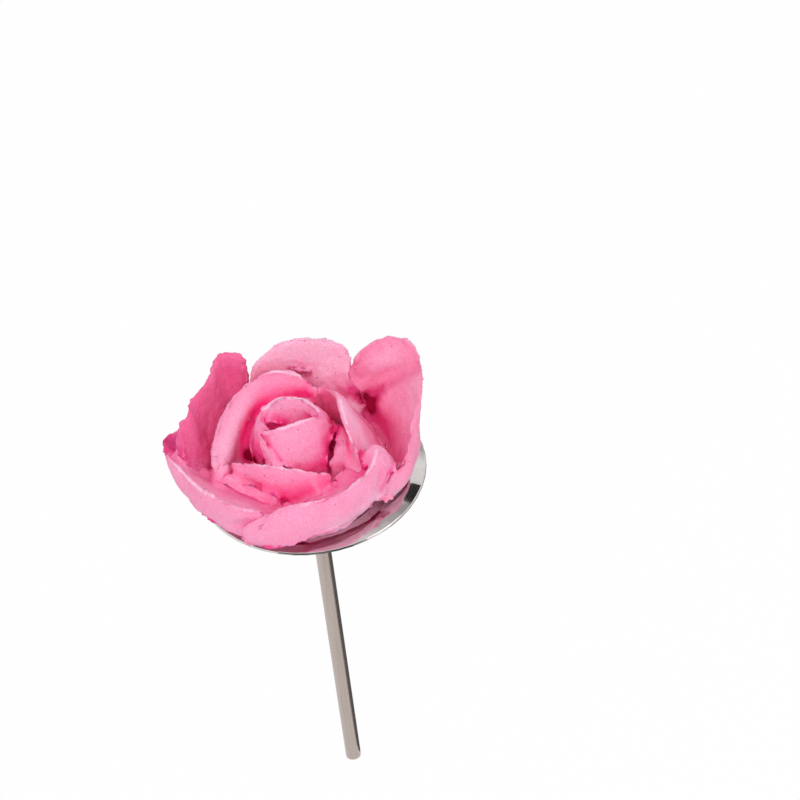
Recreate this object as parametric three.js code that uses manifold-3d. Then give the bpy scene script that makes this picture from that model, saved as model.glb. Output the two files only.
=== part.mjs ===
// Flower nail: a thin polished disc on a round stem, with a rose of icing piped on it.
// The nail stands on its stem along +Z, with the origin at the centre of the stem's lower end.
import * as THREE from "three";
import { mergeVertices } from "three/addons/utils/BufferGeometryUtils.js";
import Module from "manifold-3d";

const wasm = await Module();
wasm.setup();

// Sizes of the nail, in millimetres
const NAIL_LENGTH = 75; // lower end of the stem to the head's top face
const HEAD_DIAMETER = 39.6;
const HEAD_THICKNESS = 0.5;
const HEAD_EDGE_RADIUS = 0.3; // rolled upper edge left by stamping
const HEAD_BURR_CHAMFER = 0.1;
const HEAD_BEND = 4; // width of the band along the rim that bends down
const HEAD_DROP = 0.35; // how far the rim lies below the middle
const STEM_DIAMETER = 2.8;
const STEM_CHAMFER = 0.25;
const WELD_WIDTH = 1.4; // fillet's reach along the head's underside
const WELD_HEIGHT = 1.6; // fillet's reach down the stem
const WELD_FIT = 0.02; // gap between the bead's bore and the stem

// Sizes of the rose, in millimetres
const ROSE_SHIFT_X = -2.4; // the rose was piped a little off the middle of the head
const ROSE_SHIFT_Y = -0.5;
const ROSE_RADIUS = 20; // petals' edges, from the rose's axis
const ROSE_HEIGHT = 17; // petals' edges, above the head
const MOUND_RADIUS = 16;
const MOUND_HEIGHT = 11.5;
const MOUND_SHOULDER = 3.2; // height where the cone rises out of the spread foot
const MOUND_WAIST = 5; // cone's radius above the spread foot
const TIP_HEIGHT = 12.4; // middle of the slanted top of the icing that fills the bud
const TIP_RADIUS = 3.1;
const TIP_STRETCH = 1.42; // the bud is wider than it is deep
const TIP_SLANT = 33; // degrees by which the filling falls toward the front
const EDGE_THICKNESS = 0.9; // icing at a petal's free edge
const END_SHARE = 0.5; // thickness left at a petal's two ends
const PETAL_GAP = 0.3; // between neighbouring ribbons of icing
const SEAT_GAP = 0.3; // between a petal and the head

// Fineness of the facets
const ROUND_STEPS = 48;
const BEND_STEPS = 5;
const ALONG_STEPS = 24;
const ACROSS_STEPS = 6;
const END_STEPS = 2; // steps over which a petal's ends thin out
const FINEST = 0.02; // smallest facet kept after a cut

// Each petal is a ribbon between a foot line and a free edge, both as points of [azimuth in degrees,
// distance from the rose's axis, height above the head]. Distance and height are in percent of the
// rose's radius and height for the edge, and of the mound's radius and shoulder for the foot.
// The belly is how far the ribbon bows outward between the two, and the root is how thick the icing
// is at the foot, both in thicknesses of the free edge, from the petal's start to its end. The
// thinning is the power with which the root thins toward the edge: under 1 the inner face is a ramp.
const PETALS = [
  {
    name: "bud_wrap",
    edge: [
      [214, 21.5, 78.8], [178, 24.5, 82.4], [125, 20.5, 84.7], [68, 17.5, 85.9], [18, 21, 84.7],
      [-12, 26, 83.5], [-40, 18, 83.5], [-75, 14.5, 83.5], [-110, 16, 81.8], [-155, 29.5, 78.8],
    ],
    foot: [
      [205, 36.2, 100], [90, 38.8, 100], [0, 42.5, 100], [-110, 46.2, 100],
    ],
    belly: [1, 1.44],
    root: [2, 2],
    thinning: 1.4,
  },
  {
    name: "inner_petal_left",
    edge: [
      [46, 38, 77.6], [78, 46, 87.1], [105, 49.5, 89.4], [132, 51.5, 87.1], [156, 53.5, 83.5],
      [176, 60, 76.5], [188, 68, 62.4], [198, 73, 41.2],
    ],
    foot: [
      [46, 46.2, 100], [110, 52.5, 100], [160, 62.5, 100], [205, 81.2, 75],
    ],
    belly: [0.67, 0.33],
    root: [4.6, 6.2, 5.6, 2.2],
    thinning: 0.85,
  },
  {
    name: "inner_petal_tail",
    edge: [
      [-14, 44, 41.2], [-25, 46, 52.9], [-34, 44, 52.9], [-44, 40, 41.2],
    ],
    foot: [
      [-16, 57.5, 100], [-34, 61.3, 100], [-50, 55, 100],
    ],
    belly: [0.33, 0.33],
    root: [1.8, 1.8],
    thinning: 1.4,
  },
  {
    name: "inner_petal_right",
    edge: [
      [50, 41, 74.1], [41, 42.5, 83.5], [22, 44.5, 83.5], [0, 43.5, 81.2], [-20, 48.5, 76.5],
      [-33, 58, 68.5], [-38, 65.5, 60.5], [-38.5, 69, 51],
    ],
    foot: [
      [60, 68.8, 87.5], [20, 87.5, 68.8], [-15, 92.5, 68.8], [-44, 87.5, 68.8],
    ],
    belly: [0.56, 0.56],
    root: [5.6, 7.8],
    thinning: 1.4,
  },
  {
    name: "inner_petal_front",
    edge: [
      [199, 56, 50.6], [217, 47, 54.1], [243, 41, 54.7], [271, 44, 54.1], [299, 56, 50.6],
    ],
    foot: [
      [206, 71.2, 100], [250, 62.5, 100], [292, 71.2, 100],
    ],
    belly: [0.67, 0.67],
    root: [2.9, 2.9],
    thinning: 1.4,
  },
  {
    name: "outer_petal_back",
    edge: [
      [116, 64, 70.6], [112, 66, 84.7], [106, 66, 91.8], [93, 73, 98.2], [79, 75.5, 101.8],
      [66, 77, 101.8], [57, 80, 100], [48, 83.5, 95.9], [45, 82.5, 87.1], [44, 78, 74.1],
      [39, 76.5, 58.8], [32, 77.5, 48.8], [26, 78, 38.8],
    ],
    foot: [
      [114, 68.8, 68.8], [80, 71.2, 68.8], [44, 78.8, 68.8], [24, 90, 62.5],
    ],
    belly: [0.56, 0.56],
    root: [4.4, 4.4],
    thinning: 1.4,
  },
  {
    name: "outer_petal_left",
    edge: [
      [115, 70, 72.9], [117, 71, 85.9], [116, 74.5, 95.3], [119, 81.5, 98.8], [123, 89, 98.2],
      [130, 87.5, 94.7], [138, 82, 92.4], [150, 82, 89.4], [158, 86.5, 85.3], [166, 86.5, 80.6],
      [172, 93, 75.9], [177, 94.5, 67.1], [184, 92, 50],
    ],
    foot: [
      [115, 85, 50], [150, 87.5, 50], [188, 100, 50],
    ],
    belly: [0.67, 0.67],
    root: [4.9, 3.8],
    thinning: 1.4,
  },
  {
    name: "outer_petal_right",
    edge: [
      [42, 77, 73.5], [40, 90, 90.6], [34, 110, 98.8], [28, 122, 98.8], [21, 124, 94.7],
      [14, 120, 87.1], [0, 110, 74.1], [-11, 103, 64], [-19, 102.5, 55.5], [-25, 102, 47],
      [-31, 94, 41], [-38, 88, 36],
    ],
    foot: [
      [42, 102.5, 50], [16, 116.3, 37.5], [-15, 121.2, 31.2], [-38, 108.7, 31.2],
    ],
    belly: [-1.78, -0.89, 0.89, 1.11],
    root: [2.7, 3.8, 5.6, 4.4],
    thinning: 1.4,
  },
  {
    name: "outer_petal_front_left",
    edge: [
      [168, 94, 63.5], [172, 103.5, 64.1], [175, 110, 60], [179, 108.5, 55.3], [185, 105, 53.5],
      [193, 98, 51.8], [208, 93, 48.8], [222, 90.5, 48.8], [235, 89, 48.2], [246, 85, 43.5],
      [258, 76, 29.4],
    ],
    foot: [
      [175, 125, 137.5], [192, 118.8, 68.8], [215, 111.2, 37.5], [240, 105, 37.5],
      [258, 96.2, 37.5],
    ],
    belly: [0.56, 0.78],
    root: [5, 10, 8.9],
    thinning: 0.7,
  },
  {
    name: "outer_petal_front_right",
    edge: [
      [235, 96, 23.5], [245, 92, 40], [257, 85, 48.8], [270, 82.5, 52.5], [283, 86, 55.3],
      [296, 89, 58.8], [306, 90, 61.2], [314, 89.5, 63.5], [322, 87, 65.5], [330, 83, 65],
      [336, 79, 58.8],
    ],
    foot: [
      [238, 116.3, 37.5], [258, 113.8, 31.2], [272, 108.7, 75], [300, 106.2, 87.5],
      [320, 106.2, 87.5], [337, 108.7, 75],
    ],
    belly: [0.44, 0.67, 0.67, 1.4],
    root: [5.6, 7.8, 7.8],
    thinning: 0.8,
  },
];

const steel = { color: 0xb9b4b2, roughness: 0.22, metalness: 1 };
const satinSteel = { color: 0x9a8a84, roughness: 0.4, metalness: 1 };
const icing = { color: 0xe8689f, roughness: 0.55, metalness: 0 };

function piece(name, geometry, look) {
  const mesh = new THREE.Mesh(geometry, new THREE.MeshStandardMaterial(look));
  mesh.name = name;
  return mesh;
}

// A turned solid about +Z from [radius, height] points that run up the outside.
function turned(outline) {
  const points = outline.map(([r, z]) => new THREE.Vector2(r, z));
  return new THREE.LatheGeometry(points, ROUND_STEPS).rotateX(Math.PI / 2);
}

function arc(centreR, centreZ, radius, from, to) {
  const points = [];
  for (let i = 0; i <= BEND_STEPS; i++) {
    const angle = THREE.MathUtils.degToRad(from + ((to - from) * i) / BEND_STEPS);
    points.push([centreR + radius * Math.cos(angle), centreZ + radius * Math.sin(angle)]);
  }
  return points;
}

function solidOf(geometry) {
  const bare = geometry.clone();
  bare.deleteAttribute("normal");
  bare.deleteAttribute("uv");
  const merged = mergeVertices(bare, 1e-4);
  return new wasm.Manifold(new wasm.Mesh({
    numProp: 3,
    vertProperties: new Float32Array(merged.attributes.position.array),
    triVerts: new Uint32Array(merged.index.array),
  }));
}

function geometryOf(solid) {
  const { vertProperties, triVerts } = solid.getMesh();
  const geometry = new THREE.BufferGeometry();
  geometry.setAttribute("position", new THREE.BufferAttribute(vertProperties, 3));
  geometry.setIndex(new THREE.BufferAttribute(triVerts, 1));
  geometry.computeVertexNormals();
  return geometry;
}

// Head: a stamped disc that bends down a little along its rim, with a rolled upper edge
function headGeometry() {
  const radius = HEAD_DIAMETER / 2;
  const rimTop = NAIL_LENGTH - HEAD_DROP;
  const rimBottom = rimTop - HEAD_THICKNESS;
  const flat = radius - HEAD_BEND;
  const bend = [];
  for (let i = 0; i < BEND_STEPS; i++) {
    const share = i / BEND_STEPS;
    const out = flat + share * (HEAD_BEND - HEAD_EDGE_RADIUS);
    bend.push([out, NAIL_LENGTH - HEAD_DROP * share ** 2]);
  }
  return turned([
    [0, NAIL_LENGTH - HEAD_THICKNESS],
    ...bend.map(([out, height]) => [out, height - HEAD_THICKNESS]),
    [radius - HEAD_BURR_CHAMFER, rimBottom],
    [radius, rimBottom + HEAD_BURR_CHAMFER],
    ...arc(radius - HEAD_EDGE_RADIUS, rimTop - HEAD_EDGE_RADIUS, HEAD_EDGE_RADIUS, 0, 90),
    ...bend.reverse(),
    [0, NAIL_LENGTH],
  ]);
}

// Stem: a round rod with a small chamfer at the lower end
function stemGeometry() {
  const radius = STEM_DIAMETER / 2;
  return turned([
    [0, 0],
    [radius - STEM_CHAMFER, 0],
    [radius, STEM_CHAMFER],
    [radius, NAIL_LENGTH - HEAD_THICKNESS],
    [0, NAIL_LENGTH - HEAD_THICKNESS],
  ]);
}

// Weld bead: a hollow fillet in the corner between stem and head
function weldGeometry() {
  const bore = STEM_DIAMETER / 2 + WELD_FIT;
  const top = NAIL_LENGTH - HEAD_THICKNESS;
  const outline = [[bore, top - WELD_HEIGHT]];
  for (let i = 1; i <= BEND_STEPS; i++) {
    const angle = ((Math.PI / 2) * i) / BEND_STEPS;
    const out = WELD_WIDTH * (1 - Math.cos(angle));
    const up = WELD_HEIGHT * Math.sin(angle);
    outline.push([bore + out, top - WELD_HEIGHT + up]);
  }
  return turned([...outline, [bore, top], [bore, top - WELD_HEIGHT]]);
}

// Mound: the cone of icing under the petals, spread at the foot; grow makes a larger copy for cutting
function moundGeometry(grow = 0) {
  const slope = (MOUND_RADIUS - MOUND_WAIST) / 3;
  const rise = MOUND_HEIGHT - MOUND_SHOULDER;
  return turned([
    [0, 0],
    [MOUND_RADIUS + grow, 0],
    [MOUND_RADIUS + grow, MOUND_SHOULDER * 0.3],
    [MOUND_WAIST + 2 * slope + grow, MOUND_SHOULDER * 0.75 + grow],
    [MOUND_WAIST + slope + grow, MOUND_SHOULDER + grow],
    [MOUND_WAIST + grow, MOUND_SHOULDER + rise * 0.15 + grow],
    [MOUND_WAIST * 0.85 + grow, MOUND_SHOULDER + rise * 0.6 + grow],
    [MOUND_WAIST * 0.5 + grow, MOUND_SHOULDER + rise * 0.9 + grow],
    [0, MOUND_HEIGHT + grow],
  ]);
}

// Filling of the bud on top of the mound, with a slanted upper face
function tipSolid(grow = 0) {
  const top = TIP_HEIGHT + TIP_RADIUS;
  const core = turned([
    [0, MOUND_SHOULDER],
    [TIP_RADIUS + grow, MOUND_SHOULDER],
    [TIP_RADIUS + grow, top],
    [0, top],
  ]);
  core.scale(TIP_STRETCH, 1, 1);
  const above = new THREE.BoxGeometry(HEAD_DIAMETER, HEAD_DIAMETER, HEAD_DIAMETER);
  above.translate(0, 0, HEAD_DIAMETER / 2 + grow);
  above.rotateX(THREE.MathUtils.degToRad(TIP_SLANT));
  above.translate(0, 0, TIP_HEIGHT);
  return solidOf(core).subtract(solidOf(above));
}

function moundSolid(grow = 0) {
  return solidOf(moundGeometry(grow)).add(tipSolid(grow));
}

// A smooth line in cylinder coordinates, with the turn measured in millimetres at the mound's rim
function lineThrough(points, reach, rise) {
  return new THREE.CatmullRomCurve3(points.map(([azimuth, out, up]) => {
    const turn = MOUND_RADIUS * THREE.MathUtils.degToRad(azimuth);
    return new THREE.Vector3(turn, (reach * out) / 100, (rise * up) / 100);
  }));
}

function place(line, share) {
  const { x: turn, y: radius, z: height } = line.getPointAt(share);
  const angle = turn / MOUND_RADIUS;
  return new THREE.Vector3(radius * Math.cos(angle), radius * Math.sin(angle), height);
}

// Thin ribbon of a petal as a grid of points: rows along it, each from foot to free edge
function petalGrid({ edge, foot, belly }) {
  const edgeLine = lineThrough(edge, ROSE_RADIUS, ROSE_HEIGHT);
  const footLine = lineThrough(foot, MOUND_RADIUS, MOUND_SHOULDER);
  const grid = [];
  for (let i = 0; i <= ALONG_STEPS; i++) {
    const share = i / ALONG_STEPS;
    const low = place(footLine, share);
    const high = place(edgeLine, share);
    const rise = difference(high, low).normalize();
    high.addScaledVector(rise, -EDGE_THICKNESS / 2);
    const outward = new THREE.Vector3(low.x + high.x, low.y + high.y, 0);
    outward.addScaledVector(rise, -outward.dot(rise)).normalize();
    const bow = low.clone().add(high).multiplyScalar(0.5);
    bow.addScaledVector(outward, 2 * EDGE_THICKNESS * spread(belly, share));
    grid.push(new THREE.QuadraticBezierCurve3(low, bow, high).getPoints(ACROSS_STEPS));
  }
  return grid;
}

// Value at a share of the way through a list of evenly spaced values
function spread(values, share) {
  const spot = share * (values.length - 1);
  const first = Math.min(Math.floor(spot), values.length - 2);
  return THREE.MathUtils.lerp(values[first], values[first + 1], spot - first);
}

function difference(a, b) {
  return new THREE.Vector3().subVectors(a, b);
}

// Petal: the ribbon given its thickness, which grows from the free edge to the foot
// and shrinks at both ends; grow makes a larger copy for cutting
function petalGeometry(petal, grow = 0) {
  const grid = petalGrid(petal);
  const last = ALONG_STEPS;
  const rings = grid.map((row, i) => {
    const before = grid[Math.max(i - 1, 0)];
    const after = grid[Math.min(i + 1, last)];
    const taper = Math.min(1, END_SHARE + Math.min(i, last - i) / (END_STEPS + 1));
    const root = EDGE_THICKNESS * spread(petal.root, i / last);
    const outer = [];
    const inner = [];
    let tip = null;
    row.forEach((point, j) => {
      const along = difference(after[j], before[j]).normalize();
      const across = difference(row[Math.min(j + 1, ACROSS_STEPS)], row[Math.max(j - 1, 0)]).normalize();
      const normal = new THREE.Vector3().crossVectors(along, across).normalize();
      if (normal.x * point.x + normal.y * point.y < 0) {
        normal.negate();
      }
      const depth = (1 - j / ACROSS_STEPS) ** petal.thinning;
      const thick = taper * THREE.MathUtils.lerp(EDGE_THICKNESS, root, depth);
      const skinHalf = (taper * EDGE_THICKNESS) / 2;
      const middle = point.clone();
      if (i === 0 || i === last) {
        middle.addScaledVector(along, i === 0 ? -grow : grow);
      }
      if (j === 0) {
        middle.addScaledVector(across, -grow);
      }
      outer.push(middle.clone().addScaledVector(normal, skinHalf + grow));
      inner.push(middle.clone().addScaledVector(normal, skinHalf - thick - grow));
      if (j === ACROSS_STEPS) {
        tip = middle.clone().addScaledVector(across, skinHalf + grow);
      }
    });
    return [...outer, tip, ...inner.reverse()];
  });
  return skin(rings);
}

// Closed skin over rings of points, with a flat cap at each end, its faces turned outward
function skin(rings) {
  const count = rings[0].length;
  const positions = rings.flat().flatMap((point) => point.toArray());
  const faces = [];
  for (let i = 0; i + 1 < rings.length; i++) {
    for (let j = 0; j < count; j++) {
      const a = i * count + j;
      const b = i * count + ((j + 1) % count);
      faces.push(a, b, b + count, a, b + count, a + count);
    }
  }
  const end = (rings.length - 1) * count;
  const half = (count - 1) / 2;
  for (let j = 0; j < half; j++) {
    const far = count - 1 - j;
    if (j + 1 < half) {
      faces.push(j, far, far - 1, j, far - 1, j + 1);
      faces.push(end + j, end + far - 1, end + far, end + j, end + j + 1, end + far - 1);
    } else {
      faces.push(j, far, half);
      faces.push(end + j, end + half, end + far);
    }
  }
  const geometry = new THREE.BufferGeometry();
  geometry.setAttribute("position", new THREE.Float32BufferAttribute(positions, 3));
  geometry.setIndex(volume(positions, faces) < 0 ? faces.reverse() : faces);
  return geometry;
}

function volume(positions, faces) {
  const corner = (k) => new THREE.Vector3().fromArray(positions, 3 * faces[k]);
  let sum = 0;
  for (let k = 0; k < faces.length; k += 3) {
    sum += corner(k).dot(corner(k + 1).cross(corner(k + 2))) / 6;
  }
  return sum;
}

function largest(solid) {
  return solid.decompose().sort((a, b) => b.volume() - a.volume())[0];
}

// The petals are laid from the bud outward, each cut to lie against the icing already there.
function roseMeshes() {
  const below = new THREE.BoxGeometry(4 * HEAD_DIAMETER, 4 * HEAD_DIAMETER, HEAD_DIAMETER);
  below.translate(0, 0, SEAT_GAP - HEAD_DIAMETER / 2);
  let taken = moundSolid(PETAL_GAP).add(solidOf(below));
  const meshes = [piece("rose_mound", geometryOf(moundSolid()), icing)];
  for (const petal of PETALS) {
    const solid = largest(solidOf(petalGeometry(petal)).subtract(taken)).simplify(FINEST);
    meshes.push(piece(petal.name, geometryOf(solid), icing));
    taken = taken.add(solidOf(petalGeometry(petal, PETAL_GAP)));
  }
  return meshes;
}

const nail = new THREE.Group();
nail.add(piece("stem", stemGeometry(), satinSteel));
nail.add(piece("weld_bead", weldGeometry(), satinSteel));
nail.add(piece("head", headGeometry(), steel));

const rose = new THREE.Group();
rose.position.set(ROSE_SHIFT_X, ROSE_SHIFT_Y, NAIL_LENGTH);
rose.add(...roseMeshes());

const flowerNail = new THREE.Group();
flowerNail.add(nail, rose);

export default flowerNail;
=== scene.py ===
# %% [markdown]
# # A flower nail with a piped rose
# This tool is held by its thin stem and turned between two fingers while icing is piped on the
# small round head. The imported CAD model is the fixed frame: its nail keeps its shapes and gets
# steel finishes here, and each ribbon of icing is remade as a soft, slightly torn piece that
# takes the place of its plain CAD solid.

# %% Load the frame
from math import pi, radians

import bpy
import numpy as np
from mathutils import Matrix, Vector
from mathutils.bvhtree import BVHTree
from mathutils.kdtree import KDTree


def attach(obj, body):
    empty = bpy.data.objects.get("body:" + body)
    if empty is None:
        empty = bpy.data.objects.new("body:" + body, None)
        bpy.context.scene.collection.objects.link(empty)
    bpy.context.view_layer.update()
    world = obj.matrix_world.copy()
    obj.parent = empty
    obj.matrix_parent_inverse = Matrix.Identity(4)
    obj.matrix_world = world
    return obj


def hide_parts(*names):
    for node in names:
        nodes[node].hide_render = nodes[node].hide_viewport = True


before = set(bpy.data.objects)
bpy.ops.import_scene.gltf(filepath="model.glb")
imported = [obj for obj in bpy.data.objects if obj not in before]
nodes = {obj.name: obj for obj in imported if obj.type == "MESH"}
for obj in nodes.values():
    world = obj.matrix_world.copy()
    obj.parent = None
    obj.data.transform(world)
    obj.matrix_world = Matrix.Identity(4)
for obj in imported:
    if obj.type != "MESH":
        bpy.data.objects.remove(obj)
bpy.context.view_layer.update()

MM = 0.001

# %% [markdown]
# ## The viewpoint
# The picture was taken from well above the head with a long lens, so circles look like even
# ellipses. A camera with the same place, tilt and lens shows every piece where the picture has
# it. The few degrees of roll make the stem lean to the left.

# %% Camera
LENS = 157.35
SENSOR = 36
EYE_PLACE = (0, -430.29, 493.15)  # mm
EYE_TURN = (46.535, 5.045, -6.971)  # degrees
eye = bpy.data.cameras.new("eye")
eye.sensor_width = SENSOR
eye.lens = LENS
camera = bpy.data.objects.new("eye", eye)
camera.location = [c * MM for c in EYE_PLACE]
camera.rotation_euler = [radians(angle) for angle in EYE_TURN]
bpy.context.scene.collection.objects.link(camera)
bpy.context.scene.camera = camera
print("camera at", tuple(round(c, 3) for c in camera.location))

# %% [markdown]
# ## The studio
# A white floor and sky, a large soft lamp over the camera and a weaker one on the right give the
# even light of a product picture. The floor shows itself almost white to the camera and to shiny
# metal, but it still keeps a faint shadow. Polished steel looks like steel only when it has
# something dark to mirror, so a few cards that glow with their own shade and that only reflections
# see lie and stand around the nail: they are painted reflections on the steel.

# %% Floor, sky and lamps
FILL_STRENGTH = 0.72
FLOOR_SIZE = 6  # metres
WHITE_SHARE = 0.97  # of the floor where it is seen directly, and the rest shows its shadow
ROSE_MIDDLE = Vector((0, 0, 84 * MM))
LAMP_DISTANCE = 0.9  # metres
scene = bpy.context.scene
scene.view_settings.view_transform = "Standard"


def seen_directly(tree):
    """A value of 1 for rays from the camera, from a mirror or through glass."""
    path = tree.nodes.new("ShaderNodeLightPath")
    total = path.outputs["Is Camera Ray"]
    for name in ("Is Glossy Ray", "Is Transmission Ray"):
        either = tree.nodes.new("ShaderNodeMath")
        either.operation = "MAXIMUM"
        tree.links.new(total, either.inputs[0])
        tree.links.new(path.outputs[name], either.inputs[1])
        total = either.outputs[0]
    return total


def white_when_seen(tree, shaded, white, share, end):
    """Blend a share of a white shader over a shaded one where it is seen directly."""
    amount = tree.nodes.new("ShaderNodeMath")
    amount.operation = "MULTIPLY"
    amount.inputs[1].default_value = share
    tree.links.new(seen_directly(tree), amount.inputs[0])
    blend = tree.nodes.new("ShaderNodeMixShader")
    for i, source in enumerate((amount, shaded, white)):
        tree.links.new(source.outputs[0], blend.inputs[i])
    tree.links.new(blend.outputs[0], end.inputs[0])


sky = bpy.data.worlds.new("sky")
sky.use_nodes = True
scene.world = sky
sky_nodes = sky.node_tree.nodes
sky_nodes.clear()
fill_light = sky_nodes.new("ShaderNodeBackground")
fill_light.inputs["Color"].default_value = (1, 0.985, 0.975, 1)
fill_light.inputs["Strength"].default_value = FILL_STRENGTH
white_sky = sky_nodes.new("ShaderNodeBackground")
white_sky.inputs["Color"].default_value = (1, 1, 1, 1)
sky_out = sky_nodes.new("ShaderNodeOutputWorld")
white_when_seen(sky.node_tree, fill_light, white_sky, 1, sky_out)

bpy.ops.mesh.primitive_plane_add(size=FLOOR_SIZE, location=(0, 0, 0))
floor = bpy.context.object
floor.name = "floor"
paper = bpy.data.materials.new("white_paper")
paper.use_nodes = True
paper_nodes = paper.node_tree.nodes
matt = paper_nodes["Principled BSDF"]
matt.inputs["Base Color"].default_value = (0.86, 0.86, 0.86, 1)
matt.inputs["Roughness"].default_value = 0.9
matt.inputs["Specular IOR Level"].default_value = 0.1
glow = paper_nodes.new("ShaderNodeEmission")
white_when_seen(paper.node_tree, matt, glow, WHITE_SHARE, paper_nodes["Material Output"])
floor.data.materials.append(paper)


def soft_lamp(name, direction, size, power):
    """A square lamp that looks at the rose from one side. The size is in metres, the power in watts."""
    light = bpy.data.lights.new(name, "AREA")
    light.size = size
    light.energy = power
    light.color = (1, 0.99, 0.98)
    lamp = bpy.data.objects.new(name, light)
    lamp.location = ROSE_MIDDLE + LAMP_DISTANCE * Vector(direction).normalized()
    lamp.rotation_euler = (ROSE_MIDDLE - lamp.location).to_track_quat("-Z", "Y").to_euler()
    scene.collection.objects.link(lamp)
    print(name, "at", tuple(round(c, 2) for c in lamp.location))


soft_lamp("softbox", (-0.2, -0.7, 0.7), 0.6, 3.0)
soft_lamp("side_lamp", (0.75, -0.25, 0.6), 0.6, 1.2)

# %% Cards for the steel to mirror
HEAD_CARDS = 99.7  # mm, height of the cards over the head
DARK_PATCH = [(26, 9), (30, 5), (37, 3.5), (46, 5), (46, 15), (40, 18), (31, 16), (27, 13)]
# shade of each grey card over the head, and x and y of two of its corners
HEAD_GREYS = [
    (0.42, -40, -1, 70, 4), (0.52, -40, -6, 70, -1), (0.68, -40, -10, 70, -6),
    (0.85, -40, -14, 70, -10), (0.78, 45, 50, 140, 70), (0.5, 45, 70, 140, 100),
    (0.33, 45, 100, 140, 170),
]
cards = []


def card(name, shade, corners):
    """A card through corners in mm that glows with its shade and only reflections see: a painted
    reflection.
    """
    mesh = bpy.data.meshes.new(name)
    mesh.from_pydata([[c * MM for c in corner] for corner in corners], [], [range(len(corners))])
    piece = bpy.data.objects.new(name, mesh)
    scene.collection.objects.link(piece)
    for sense in ("camera", "diffuse", "shadow", "transmission", "volume_scatter"):
        setattr(piece, "visible_" + sense, False)
    reflected_glow_finish = bpy.data.materials.new(name)
    reflected_glow_finish.use_nodes = True
    reflected_glow_finish.node_tree.nodes.clear()
    glow = reflected_glow_finish.node_tree.nodes.new("ShaderNodeEmission")
    glow.inputs["Color"].default_value = (shade, shade, shade, 1)
    end = reflected_glow_finish.node_tree.nodes.new("ShaderNodeOutputMaterial")
    reflected_glow_finish.node_tree.links.new(glow.outputs[0], end.inputs[0])
    mesh.materials.append(reflected_glow_finish)
    cards.append(piece)


def level(x0, y0, x1, y1, z):
    """Corners of a level rectangle."""
    return [(x0, y0, z), (x1, y0, z), (x1, y1, z), (x0, y1, z)]


# glowing wedges from the stem's foot are mirrored as an even dark side along the whole stem, a painted
# reflection
card("stem_right", 0.16, [(0.3, 0.2, 1), (140, -70, 1), (140, 160, 1), (0.3, 160, 1)])
card("stem_left", 0.45, [(-0.3, 0.2, 1), (-0.3, 160, 1), (-90, 160, 1)])
# the rim's edge looks down to the floor and forward
card("rim_floor", 0.1, level(-70, -150, 70, -72, 1))
card("rim_front", 0.1, [(-200, -260, 0), (200, -260, 0), (200, -260, 330), (-200, -260, 330)])
# the head looks up and back
card("head_dark", 0.03, [(x, y, HEAD_CARDS) for x, y in DARK_PATCH])
for number, (shade, *corners) in enumerate(HEAD_GREYS, 1):
    card("head_grey_%d" % number, shade, level(*corners, HEAD_CARDS))
print("cards:", len(cards))

# %% [markdown]
# ## Ribbons of icing
# Each petal is piped as one ribbon of stiff icing, with a thick root, smooth walls and a thin free
# edge. A copy of the CAD solid has the right place and bulk but flat facets, so it is the start of
# the soft piece. Icing that was squeezed out between two ribbons is added first, as rows of small
# balls, because the voxel remesh then melts ball and ribbon into one even skin.

# %% Copies and squeezed-out icing
SKIN = 0.15  # mm, size of the skin's faces
MERGE = 0.002  # mm, corners closer than this become one
BALL_STEP = 0.3  # mm from ball to ball
ICING = [
    "rose_mound", "bud_wrap", "inner_petal_left", "inner_petal_tail", "inner_petal_right",
    "inner_petal_front", "outer_petal_back", "outer_petal_left", "outer_petal_right",
    "outer_petal_front_left", "outer_petal_front_right",
]


def only(piece):
    bpy.ops.object.select_all(action="DESELECT")
    piece.select_set(True)
    bpy.context.view_layer.objects.active = piece


def apply_all(piece):
    only(piece)
    for modifier in list(piece.modifiers):
        bpy.ops.object.modifier_apply(modifier=modifier.name)


def copy_of(node_name, name):
    """A new object with a merged copy of a CAD node's mesh."""
    piece = bpy.data.objects.new(name, nodes[node_name].data.copy())
    piece.data.materials.clear()
    scene.collection.objects.link(piece)
    only(piece)
    bpy.ops.object.mode_set(mode="EDIT")
    bpy.ops.mesh.select_all(action="SELECT")
    bpy.ops.mesh.remove_doubles(threshold=MERGE * MM)
    bpy.ops.object.mode_set(mode="OBJECT")
    return piece


def along(path, step):
    """Points at an even step along a path whose rows are x, y, z and more values."""
    path = np.array(path, dtype=float)
    lengths = np.linalg.norm(np.diff(path[:, :3], axis=0), axis=1)
    total = np.concatenate([[0], np.cumsum(lengths)])
    places = np.linspace(0, total[-1], max(2, int(total[-1] / step) + 1))
    return np.stack([np.interp(places, total, path[:, k]) for k in range(path.shape[1])], axis=1)


def squeeze_out(piece, path):
    """Join a row of balls to a piece. The path's rows are x, y, z and the ball's radius, in mm."""
    balls = []
    for x, y, z, radius in along(path, BALL_STEP):
        bpy.ops.mesh.primitive_ico_sphere_add(
            subdivisions=2, radius=radius * MM, location=(x * MM, y * MM, z * MM)
        )
        balls.append(bpy.context.object)
    only(piece)
    for ball in balls:
        ball.select_set(True)
    bpy.ops.object.join()


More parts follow.
